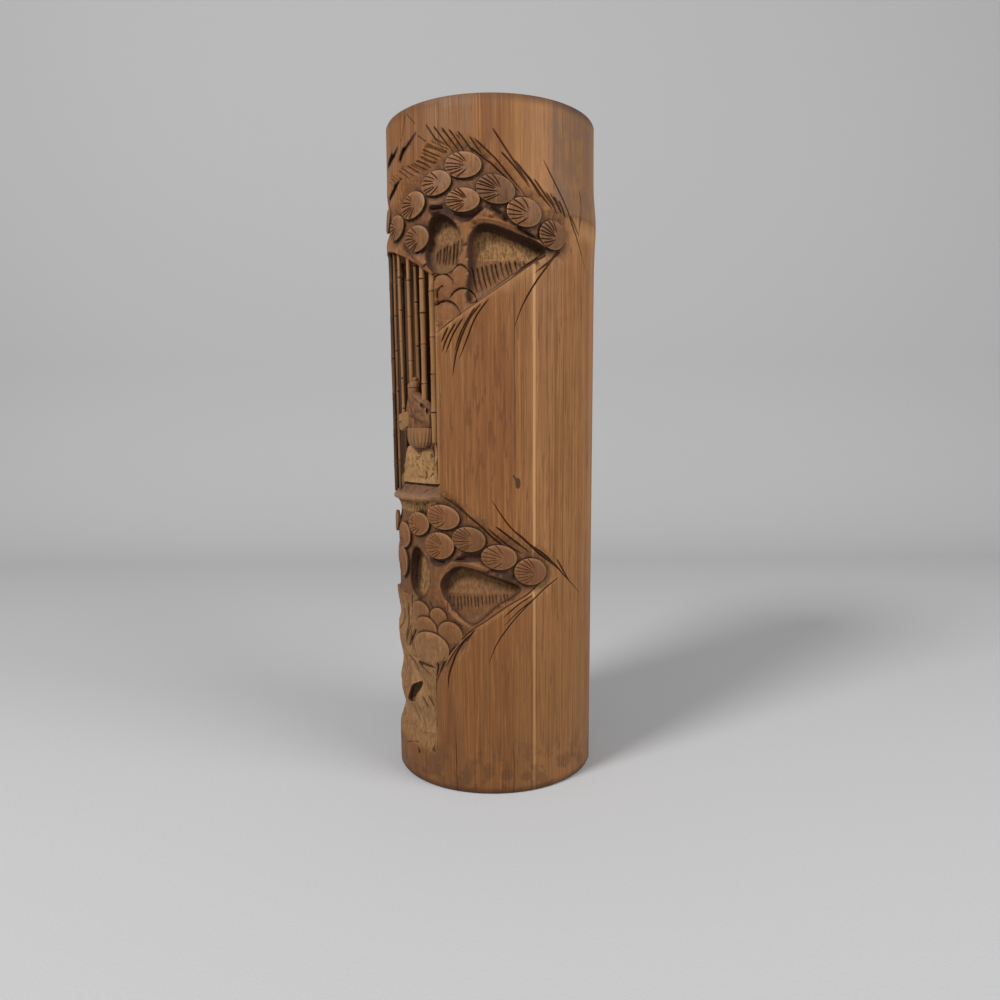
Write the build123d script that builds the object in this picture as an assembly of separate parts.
"""A carved bamboo vase: one length of culm, its natural floor, and the pine and bamboo grove cut into its front.

Millimetres. +Z runs up the culm from the middle of its foot, and the carved front faces -Y.
A turn is an angle in degrees round the culm from the middle of the front, growing towards +X.
"""

from build123d import *
import os
from math import cos, hypot, radians, sin

# The culm
CULM_HEIGHT = 305.0
SHOULDER_RADIUS = 49.4
FOOT_TAPER = 1.7
RIM_TAPER = 0.4
WALL = 9.0
EDGE_BREAK = 1.0

# The node, a swelling in the culm. Inside it a ridge is left where its partition was knocked out
NODE_BELOW_RIM = 45.0
NODE_BULGE = 1.0
NODE_HALF_HEIGHT = 14.0
NODE_BLEND = 60.0
INNER_RIDGE = 1.2
INNER_RIDGE_HALF_HEIGHT = 5.0

# The floor: the partition of the node below, left whole and dished
FLOOR_LIFT = 7.0
FLOOR_THICKNESS = 5.0
FLOOR_DISH = 2.5

# The pierced window that the grove stands in, which reaches further round to the right than to the left
WINDOW_RIGHT_TURN = 52.0
WINDOW_LEFT_TURN = 24.0
SILL_HEIGHT = 141.0
ARCH_CROWN_BELOW_RIM = 57.0
ARCH_RISE = 17.0
BANK_HEIGHT = 7.0
BANK_DEPTH = 5.5

# The hollow under the bank
COVE_HEIGHT = 13.0
COVE_DEPTH = 3.4

# Relief: how far each level lies under the culm's own surface
GROUND_DEPTH = 2.0
PAD_INSET = 0.2
PAD_MARGIN = 1.5
PAD_GAP = 0.35
POCKET_DEPTH = 5.2
TRUNK_DEPTH = 3.8
KNOT_DEPTH = 6.5

# The lower front, cut back as one field
FIELD_HALF_TURN = 47.5
FIELD_FOOT = 22.0

# Pads of pine needles: turn, drop below the rim, half width, half height, lean in degrees
UPPER_PADS = [
    (68.0, 28.5, 8.2, 5.4, -5),
    (53.0, 34.7, 7.5, 5.2, 3),
    (68.0, 43.0, 7.4, 5.0, -4),
    (84.5, 39.0, 8.4, 6.0, -14),
    (99.0, 48.0, 7.8, 6.0, -10),
    (115.5, 56.3, 7.0, 6.0, -14),
    (37.5, 42.0, 7.8, 5.6, 8),
    (39.5, 56.5, 7.8, 5.5, 4),
    (20.5, 49.0, 8.2, 5.2, 5),
]
UPPER_MIDDLE_PAD = (0.0, 42.0, 8.4, 5.6, 0)

# The same for the lower pine, with heights above the foot
LOWER_PADS = [
    (53.5, 126.5, 8.8, 5.5, -6),
    (35.5, 122.5, 7.6, 5.3, 4),
    (51.0, 113.5, 8.0, 6.0, 0),
    (68.5, 117.0, 8.0, 5.5, -5),
    (85.0, 109.0, 8.2, 5.5, -6),
    (102.5, 102.0, 8.0, 6.0, -8),
    (19.5, 116.0, 7.0, 6.0, 0),
    (16.5, 103.0, 6.4, 7.0, 10),
]
LOWER_MIDDLE_PAD = (0.0, 121.0, 7.4, 5.2, 0)

# Overlapping rocks at the foot of the lower pine, as the pads are written
LOWER_ROCKS = [
    (46.0, 65.0, 9.2, 8.0, 0),
    (41.5, 75.0, 5.2, 5.2, 0),
    (56.5, 74.5, 5.6, 5.4, 0),
    (50.0, 80.5, 4.8, 4.8, 0),
    (38.5, 83.0, 4.4, 4.4, 0),
]
ROCK_INSET = 0.9

# Pockets between the branches: turn and height of each corner, heights below the rim in the upper pine
UPPER_SMALL_POCKET = (56.5, 60.0, 8.2, 12.0, -4)
UPPER_LARGE_POCKET = [(70.5, 66.0), (71.5, 56.0), (78.0, 53.0), (92.0, 56.0), (111.5, 63.5), (72.5, 86.5)]
LOWER_SMALL_POCKET = (34.5, 99.5, 7.6, 11.5, 6)
LOWER_LARGE_POCKET = [(52.0, 95.0), (56.0, 101.5), (64.0, 104.5), (78.0, 101.5), (96.0, 95.0), (69.5, 79.0)]

# Ragged slots pierced above the upper pine: turn and drop below the rim of each corner
UPPER_SLOTS = [
    [(41.0, 12.6), (38.5, 14.5), (31.0, 18.8), (28.0, 21.6), (26.5, 20.6), (30.5, 16.4), (33.0, 16.6)],
    [(25.0, 15.2), (21.5, 18.0), (9.5, 20.4), (8.0, 18.6), (16.5, 15.6), (19.5, 16.8)],
    [(27.5, 29.2), (21.0, 33.6), (10.5, 37.0), (10.5, 34.6), (19.0, 31.6), (21.5, 29.6)],
]

# Bamboo stalks in the window: turn at the top, turn at the foot, radius, foot height above the sill, setback
STALKS = {
    "right_1": (48.6, 48.6, 1.20, 18.0, 2.6),
    "right_2": (40.8, 40.8, 1.10, 20.0, 3.2),
    "right_3": (31.4, 32.6, 0.95, 36.0, 5.2),
    "right_4": (29.8, 30.4, 0.95, 46.0, 2.4),
    "right_5": (18.8, 21.0, 0.85, 27.0, 2.2),
    "right_6": (10.8, 11.6, 0.75, -8.0, 2.0),
    "middle": (0.0, 0.0, 1.10, -8.0, 1.4),
    "left_6": (-10.8, -11.6, 0.75, -8.0, 2.0),
    "left_5": (-17.6, -18.6, 0.90, 10.0, 5.0),
}
STALK_JOINT_PITCH = 24.0
STALK_JOINT_HEIGHT = 0.9
STALK_JOINT_SWELL = 0.28

# The mound in the foot of the window: turn and height above the sill of its crest
MOUND_CREST = [(13.0, 8.0), (17.5, 14.5), (25.0, 18.0), (40.0, 19.5), (53.0, 20.5)]
MOUND_FOOT_TURN = 8.0
MOUND_SETBACK = 3.6

# The scholar, a robed figure on the mound: heights above the sill, widths along the wall
SCHOLAR_TURN = 34.0
SCHOLAR_HEM = 17.0
SCHOLAR_HEM_SIZE = (15.5, 5.2)
SCHOLAR_BELT = 26.5
SCHOLAR_BELT_SIZE = (16.5, 5.6)
SCHOLAR_SHOULDER = 36.0
SCHOLAR_SHOULDER_SIZE = (13.0, 5.0)
SCHOLAR_NECK = 40.5
SCHOLAR_NECK_SIZE = (4.6, 3.6)
SCHOLAR_SETBACK = 3.6
SCHOLAR_INSET = 0.3
HEAD_RADIUS = 3.0
HEAD_HALF_HEIGHT = 3.9
HEAD_FORWARD = 3.0
HEAD_SUNK = 1.0
TOPKNOT_RADIUS = 1.4
SLEEVE_SIZE = (8.0, 4.6, 8.4)
SLEEVE_FORWARD = 10.5
SLEEVE_HEIGHT = 26.0
SLEEVE_SETBACK = 1.2
SLEEVE_ROUND = 1.2

# The pine trunk on the lower front: half turn of its edge at heights above the foot
TRUNK_EDGE = [(46.0, 24.0), (43.0, 40.0), (35.0, 50.0), (26.0, 62.0), (24.0, 74.0), (27.0, 88.0)]
TRUNK_SWELLS = [(24.0, 2.0), (29.0, 3.2), (40.0, 1.2), (52.0, 3.0), (67.0, 0.6), (75.0, 2.2), (88.0, 0.8)]
KNOT_HOLE = (30.0, 42.0, 3.4, 6.2, -24)

# Reach of the cutting shapes past the culm
REACH = 20.0

BASE_RADIUS = SHOULDER_RADIUS - FOOT_TAPER
RIM_RADIUS = SHOULDER_RADIUS - RIM_TAPER
BORE_RADIUS = BASE_RADIUS - WALL
NODE_HEIGHT = CULM_HEIGHT - NODE_BELOW_RIM
NODE_RADIUS = (SHOULDER_RADIUS + RIM_RADIUS) / 2 + NODE_BULGE
ARCH_CROWN = CULM_HEIGHT - ARCH_CROWN_BELOW_RIM
BANK_FOOT = SILL_HEIGHT - BANK_HEIGHT
FAR_RADIUS = NODE_RADIUS + REACH


def surface_radius(height):
    """Radius of the culm's plain outside at a height, leaving out the swelling of the node."""
    shoulder = NODE_HEIGHT - NODE_HALF_HEIGHT
    if height <= shoulder:
        return BASE_RADIUS + (SHOULDER_RADIUS - BASE_RADIUS) * height / shoulder
    share = min(1.0, (height - shoulder) / (2 * NODE_HALF_HEIGHT))
    return SHOULDER_RADIUS + (RIM_RADIUS - SHOULDER_RADIUS) * share


def radial_plane(turn, height=0.0):
    """Plane on the culm's axis that faces outwards at a turn, with its x along the wall and its y up."""
    a = radians(turn)
    return Plane(origin=(0, 0, height), x_dir=(cos(a), sin(a), 0), z_dir=(sin(a), -cos(a), 0))


def place(turn, radius, height):
    """Point at a turn, a radius and a height."""
    a = radians(turn)
    return Vector(radius * sin(a), -radius * cos(a), height)


def core(inset):
    """The culm as a full round, with its whole outside drawn in by inset."""
    shoulder = (SHOULDER_RADIUS - inset, NODE_HEIGHT - NODE_HALF_HEIGHT)
    ridge = (NODE_RADIUS - inset, NODE_HEIGHT)
    collar = (RIM_RADIUS - inset, NODE_HEIGHT + NODE_HALF_HEIGHT)
    with BuildSketch(Plane.XZ) as section:
        with BuildLine():
            Polyline((0, CULM_HEIGHT), (0, 0), (BASE_RADIUS - inset, 0), shoulder)
            ThreePointArc(shoulder, ridge, collar)
            Polyline(collar, (RIM_RADIUS - inset, CULM_HEIGHT), (0, CULM_HEIGHT))
        make_face()
        creases = [v for v in section.vertices() if abs(abs(v.Z - NODE_HEIGHT) - NODE_HALF_HEIGHT) < 0.01]
        fillet(creases, NODE_BLEND)
    return revolve(section.sketch, Axis.Z)


def bore():
    """The hollow of the culm, with the ridge of the knocked-out partition standing into it."""
    low = (BORE_RADIUS, NODE_HEIGHT - INNER_RIDGE_HALF_HEIGHT)
    high = (BORE_RADIUS, NODE_HEIGHT + INNER_RIDGE_HALF_HEIGHT)
    with BuildSketch(Plane.XZ) as section:
        with BuildLine():
            Polyline((0, CULM_HEIGHT + REACH), (0, -REACH), (BORE_RADIUS, -REACH), low)
            ThreePointArc(low, (BORE_RADIUS - INNER_RIDGE, NODE_HEIGHT), high)
            Polyline(high, (BORE_RADIUS, CULM_HEIGHT + REACH), (0, CULM_HEIGHT + REACH))
        make_face()
    return revolve(section.sketch, Axis.Z)


def wedge(left, right, low, high):
    """A slice of the round, from a turn left of the front to one right of it and from one height to another."""
    corners = [(0, 0)] + [tuple(place(t, 2 * FAR_RADIUS, 0))[:2] for t in (-left, 0, right)]
    return extrude(Plane.XY.offset(low) * make_face(Polyline(*corners, close=True)), high - low)


def oval_post(turn, height, half_width, half_height, lean, grow=0.0):
    """A straight oval post from the bore out through the wall."""
    oval = Rot(0, 0, lean) * Ellipse(half_width + grow, half_height + grow)
    return extrude(radial_plane(turn, height).offset(BORE_RADIUS) * oval, FAR_RADIUS - BORE_RADIUS)


def corner_post(corners, curved):
    """A straight post through the wall whose outline passes through corners given as (turn, height).

    The outline is smooth round its curved corners, which come first, and straight between the last ones.
    """
    middle = (min(t for t, _ in corners) + max(t for t, _ in corners)) / 2
    flat = [(surface_radius(h) * sin(radians(t - middle)), h) for t, h in corners]
    with BuildSketch(radial_plane(middle)) as outline:
        with BuildLine():
            if curved:
                Spline(*flat[: curved])
                Polyline(*flat[curved - 1 :], flat[0])
            else:
                Polyline(*flat, close=True)
        make_face()
    return extrude(outline.sketch, FAR_RADIUS)


def from_rim(corners):
    """Corners given by their drop below the rim, as heights."""
    return [(turn, CULM_HEIGHT - drop) for turn, drop in corners]


def pad_from_rim(pad):
    """A pad given by its drop below the rim, with its height instead."""
    turn, drop, half_width, half_height, lean = pad
    return (turn, CULM_HEIGHT - drop, half_width, half_height, lean)


def other_side(shape):
    """The same shape on the far side of the front's middle."""
    return mirror(shape, about=Plane.YZ)


def both_sides(shapes):
    return [turned for s in shapes for turned in (s, other_side(s))]


def carve_pads(pads, inset):
    """Pads that stand on the cut-back ground. Each one is tucked under those before it, with a gap between."""
    level = core(inset) - core(GROUND_DEPTH)
    carved = []
    for i, pad in enumerate(pads):
        shape = oval_post(*pad) & level
        near = [oval_post(*p, grow=PAD_GAP) for p in pads[:i] if pads_meet(pad, p)]
        if near:
            shape = shape - near
        carved.append(max(shape.solids(), key=lambda s: s.volume))
    return carved


def pads_meet(one, two):
    """Whether two pads are near enough to touch."""
    along = radians(one[0] - two[0]) * surface_radius(one[1])
    return hypot(along, one[1] - two[1]) < max(one[2:4]) + max(two[2:4]) + 2 * PAD_GAP


def window():
    """The window that the grove stands in: an arch between two jambs, cut through the wall."""
    half_width = surface_radius(ARCH_CROWN - ARCH_RISE) * sin(radians(WINDOW_RIGHT_TURN))
    wide = FAR_RADIUS
    arch_radius = (half_width**2 + ARCH_RISE**2) / (2 * ARCH_RISE)
    spring = ARCH_CROWN - arch_radius
    with BuildSketch(Plane.XZ) as outline:
        with Locations((0, spring)):
            Circle(arch_radius)
        with Locations((0, SILL_HEIGHT)):
            Rectangle(2 * wide, 2 * CULM_HEIGHT, align=(Align.CENTER, Align.MIN), mode=Mode.INTERSECT)
        with Locations((0, spring)):
            Rectangle(2 * half_width, spring - SILL_HEIGHT, align=(Align.CENTER, Align.MAX))
    arch = extrude(outline.sketch, FAR_RADIUS)
    return arch & wedge(WINDOW_LEFT_TURN, WINDOW_RIGHT_TURN, SILL_HEIGHT - REACH, CULM_HEIGHT)


def bank():
    """The slope cut off the sill's outer edge."""
    top = surface_radius(SILL_HEIGHT)
    with BuildSketch(Plane.XZ) as section:
        with BuildLine():
            Polyline(
                (top - BANK_DEPTH, SILL_HEIGHT),
                (surface_radius(BANK_FOOT), BANK_FOOT),
                (FAR_RADIUS, BANK_FOOT),
                (FAR_RADIUS, SILL_HEIGHT),
                close=True,
            )
        make_face()
    return revolve(section.sketch, Axis.Z) & wedge(WINDOW_LEFT_TURN, WINDOW_RIGHT_TURN, BANK_FOOT, SILL_HEIGHT)


def cove():
    """The hollow under the bank, deepest at its middle."""
    top = BANK_FOOT - EDGE_BREAK
    low = top - COVE_HEIGHT
    with BuildSketch(Plane.XZ) as section:
        with BuildLine():
            ThreePointArc(
                (surface_radius(top), top),
                (surface_radius(top) - COVE_DEPTH, (top + low) / 2),
                (surface_radius(low) - GROUND_DEPTH, low),
            )
            Polyline(
                (surface_radius(low) - GROUND_DEPTH, low),
                (FAR_RADIUS, low),
                (FAR_RADIUS, top),
                (surface_radius(top), top),
            )
        make_face()
    return revolve(section.sketch, Axis.Z) & wedge(FIELD_HALF_TURN, FIELD_HALF_TURN, low, top)


def trunk_post():
    """The trunk's outline on the lower front, cut straight in from the front."""
    right = [(surface_radius(h) * sin(radians(t)), h) for t, h in TRUNK_EDGE]
    with BuildSketch(Plane.XZ) as outline:
        with BuildLine():
            Spline(*right)
            Spline(*[(-x, h) for x, h in right])
            Line(right[0], (-right[0][0], right[0][1]))
            Line(right[-1], (-right[-1][0], right[-1][1]))
        make_face()
    return extrude(outline.sketch, FAR_RADIUS)


def knot_holes():
    """The hollows in the trunk, one to each side."""
    return both_sides([oval_post(*KNOT_HOLE) - core(KNOT_DEPTH)])


def carve_trunk():
    """The gnarled trunk: its outline, swelling and drawing in up its height."""
    skin = [(surface_radius(h) - inset, h) for h, inset in TRUNK_SWELLS]
    with BuildSketch(Plane.XZ) as section:
        with BuildLine():
            Spline(*skin)
            Polyline(skin[-1], (0, skin[-1][1]), (0, skin[0][1]), skin[0])
        make_face()
    swelling = revolve(section.sketch, Axis.Z)
    return (trunk_post() & swelling) - core(TRUNK_DEPTH) - knot_holes()


def cut_back_ground(pads):
    """What is cut away to the ground: the lower front's field and a margin round every pad."""
    field = wedge(FIELD_HALF_TURN, FIELD_HALF_TURN, FIELD_FOOT, BANK_FOOT - EDGE_BREAK)
    middles = [pad_from_rim(UPPER_MIDDLE_PAD), LOWER_MIDDLE_PAD]
    margins = both_sides([oval_post(*pad, grow=PAD_MARGIN) for pad in pads])
    margins += [oval_post(*pad, grow=PAD_MARGIN) for pad in middles]
    return (field + margins) - core(GROUND_DEPTH)


def carve_culm(pads, rocks):
    """The culm's wall with all its cuts."""
    wall = core(0) - bore()
    ends = [e for e in wall.edges().filter_by(GeomType.CIRCLE) if e.radius > BORE_RADIUS + 1]
    rims = [e for e in ends if min(abs(e.center().Z), abs(e.center().Z - CULM_HEIGHT)) < 0.01]
    wall = chamfer(rims, EDGE_BREAK)
    pocket_floor = core(POCKET_DEPTH)
    cuts = [window(), bank(), cove(), cut_back_ground(pads + rocks), trunk_post() - core(TRUNK_DEPTH)]
    cuts += knot_holes()
    right = [
        oval_post(*pad_from_rim(UPPER_SMALL_POCKET)) - pocket_floor,
        corner_post(from_rim(UPPER_LARGE_POCKET), 5) - pocket_floor,
        oval_post(*LOWER_SMALL_POCKET) - pocket_floor,
        corner_post(LOWER_LARGE_POCKET, 5) - pocket_floor,
    ]
    right += [corner_post(from_rim(slot), 0) for slot in UPPER_SLOTS]
    cuts += both_sides(right)
    carved = max((wall - cuts).solids(), key=lambda s: s.volume)
    return Solid(max(carved.shells(), key=lambda s: s.area))


def carve_floor():
    """The dished partition that closes the foot of the bore."""
    low = FLOOR_LIFT
    top = FLOOR_LIFT + FLOOR_THICKNESS
    with BuildSketch(Plane.XZ) as section:
        with BuildLine():
            ThreePointArc((-BORE_RADIUS, low), (0, low + FLOOR_DISH), (BORE_RADIUS, low))
            Line((BORE_RADIUS, low), (BORE_RADIUS, top))
            ThreePointArc((BORE_RADIUS, top), (0, top + FLOOR_DISH), (-BORE_RADIUS, top))
            Line((-BORE_RADIUS, top), (-BORE_RADIUS, low))
        make_face()
        split(bisect_by=Plane.YZ)
    return revolve(section.sketch, Axis.Z)


def carve_mounds():
    """The mounds on the sill, against the right jamb, where the scholar stands, and against the left one."""
    crest = [(t, SILL_HEIGHT + h) for t, h in MOUND_CREST]
    corners = [(MOUND_FOOT_TURN, SILL_HEIGHT)] + crest + [(crest[-1][0], SILL_HEIGHT)]
    outline = corner_post(corners, len(corners) - 1)
    body = (outline & core(MOUND_SETBACK)) - Cylinder(BORE_RADIUS, 3 * CULM_HEIGHT)
    opening = wedge(WINDOW_LEFT_TURN, WINDOW_RIGHT_TURN, SILL_HEIGHT, CULM_HEIGHT)
    return body & opening, other_side(body) & opening


def scholar_plane():
    """Level plane on the sill at the scholar's place, with its x along the wall and its y inwards."""
    stand = surface_radius(SILL_HEIGHT + SCHOLAR_BELT) - SCHOLAR_SETBACK
    a = radians(SCHOLAR_TURN)
    return Plane(origin=place(SCHOLAR_TURN, stand, SILL_HEIGHT), x_dir=(cos(a), sin(a), 0), z_dir=(0, 0, 1))


def carve_scholar(mound):
    """A robed scholar with a topknot, seen from the side, holding out a wide sleeve towards the front."""
    ground = scholar_plane()
    levels = [
        (SCHOLAR_HEM, SCHOLAR_HEM_SIZE),
        (SCHOLAR_BELT, SCHOLAR_BELT_SIZE),
        (SCHOLAR_SHOULDER, SCHOLAR_SHOULDER_SIZE),
        (SCHOLAR_NECK, SCHOLAR_NECK_SIZE),
    ]
    robe = loft([ground.offset(h) * Ellipse(w / 2, d / 2) for h, (w, d) in levels])
    with BuildSketch(Plane.XZ) as face:
        Ellipse(HEAD_RADIUS, HEAD_HALF_HEIGHT)
        split(bisect_by=Plane.YZ)
    head_height = SCHOLAR_NECK + HEAD_HALF_HEIGHT - HEAD_SUNK
    head = ground * Pos(-HEAD_FORWARD, 0, head_height) * revolve(face.sketch, Axis.Z)
    knot = ground * Pos(-HEAD_FORWARD, 0, head_height + HEAD_HALF_HEIGHT) * Sphere(TOPKNOT_RADIUS)
    cuff = Box(*SLEEVE_SIZE)
    cuff = fillet(cuff.edges(), SLEEVE_ROUND)
    sleeve = ground * Pos(-SLEEVE_FORWARD, SLEEVE_SETBACK, SLEEVE_HEIGHT) * cuff
    figure = (robe + [head, knot, sleeve]) & core(SCHOLAR_INSET)
    return figure - mound


def stalk_profile(radius, length):
    """Half outline of a stalk along its length, with a collar at each joint."""
    points = [(0, 0), (radius, 0)]
    joints = int(length / STALK_JOINT_PITCH)
    for i in range(joints):
        mid = (i + 0.5) * STALK_JOINT_PITCH
        points += [
            (radius, mid - STALK_JOINT_HEIGHT),
            (radius + STALK_JOINT_SWELL, mid - STALK_JOINT_HEIGHT / 2),
            (radius + STALK_JOINT_SWELL, mid + STALK_JOINT_HEIGHT / 2),
            (radius, mid + STALK_JOINT_HEIGHT),
        ]
    return points + [(radius, length), (0, length)]


def carve_stalk(stalk, around):
    """One bamboo stalk, standing free between what it grows from and the arch over it."""
    top_turn, foot_turn, radius, foot, setback = stalk
    low = SILL_HEIGHT + foot
    high = ARCH_CROWN + ARCH_RISE
    start = place(foot_turn, surface_radius(low) - setback, low)
    end = place(top_turn, surface_radius(ARCH_CROWN) - setback, high)
    along = end - start
    with BuildSketch(Plane.XZ) as section:
        with BuildLine():
            Polyline(*stalk_profile(radius, along.length), close=True)
        make_face()
    rod = Plane(origin=start, z_dir=along) * revolve(section.sketch, Axis.Z)
    rod = rod - around
    return max(rod.solids(), key=lambda s: s.bounding_box().size.Z)


def build():
    """Every piece by name."""
    upper = [pad_from_rim(p) for p in UPPER_PADS]
    wall = carve_culm(upper + LOWER_PADS, LOWER_ROCKS)
    pieces = {"culm_wall": wall, "floor_partition": carve_floor(), "pine_trunk": carve_trunk()}
    pieces["mound_right"], pieces["mound_left"] = carve_mounds()
    pieces["scholar_right"] = carve_scholar(pieces["mound_right"])
    around = [wall, pieces["scholar_right"], pieces["mound_right"], pieces["mound_left"]]
    for name, stalk in STALKS.items():
        pieces[f"bamboo_stalk_{name}"] = carve_stalk(stalk, around)
    sided = {"lower_rocks": [Compound(carve_pads(LOWER_ROCKS, ROCK_INSET))]}
    sided["upper_pine_pad"] = carve_pads(upper, PAD_INSET)
    sided["lower_pine_pad"] = carve_pads(LOWER_PADS, PAD_INSET)
    for name, shapes in sided.items():
        for number, shape in enumerate(shapes, 1):
            ending = f"_{number}" if len(shapes) > 1 else ""
            pieces[f"{name}_right{ending}"] = shape
            pieces[f"{name}_left{ending}"] = other_side(shape)
    pieces["upper_pine_pad_middle"] = carve_pads([pad_from_rim(UPPER_MIDDLE_PAD)], PAD_INSET)[0]
    pieces["lower_pine_pad_middle"] = carve_pads([LOWER_MIDDLE_PAD], PAD_INSET)[0]
    return pieces


def main():
    os.makedirs("parts", exist_ok=True)
    for name, shape in build().items():
        export_step(shape, f"parts/{name}.step")


if __name__ == "__main__":
    main()
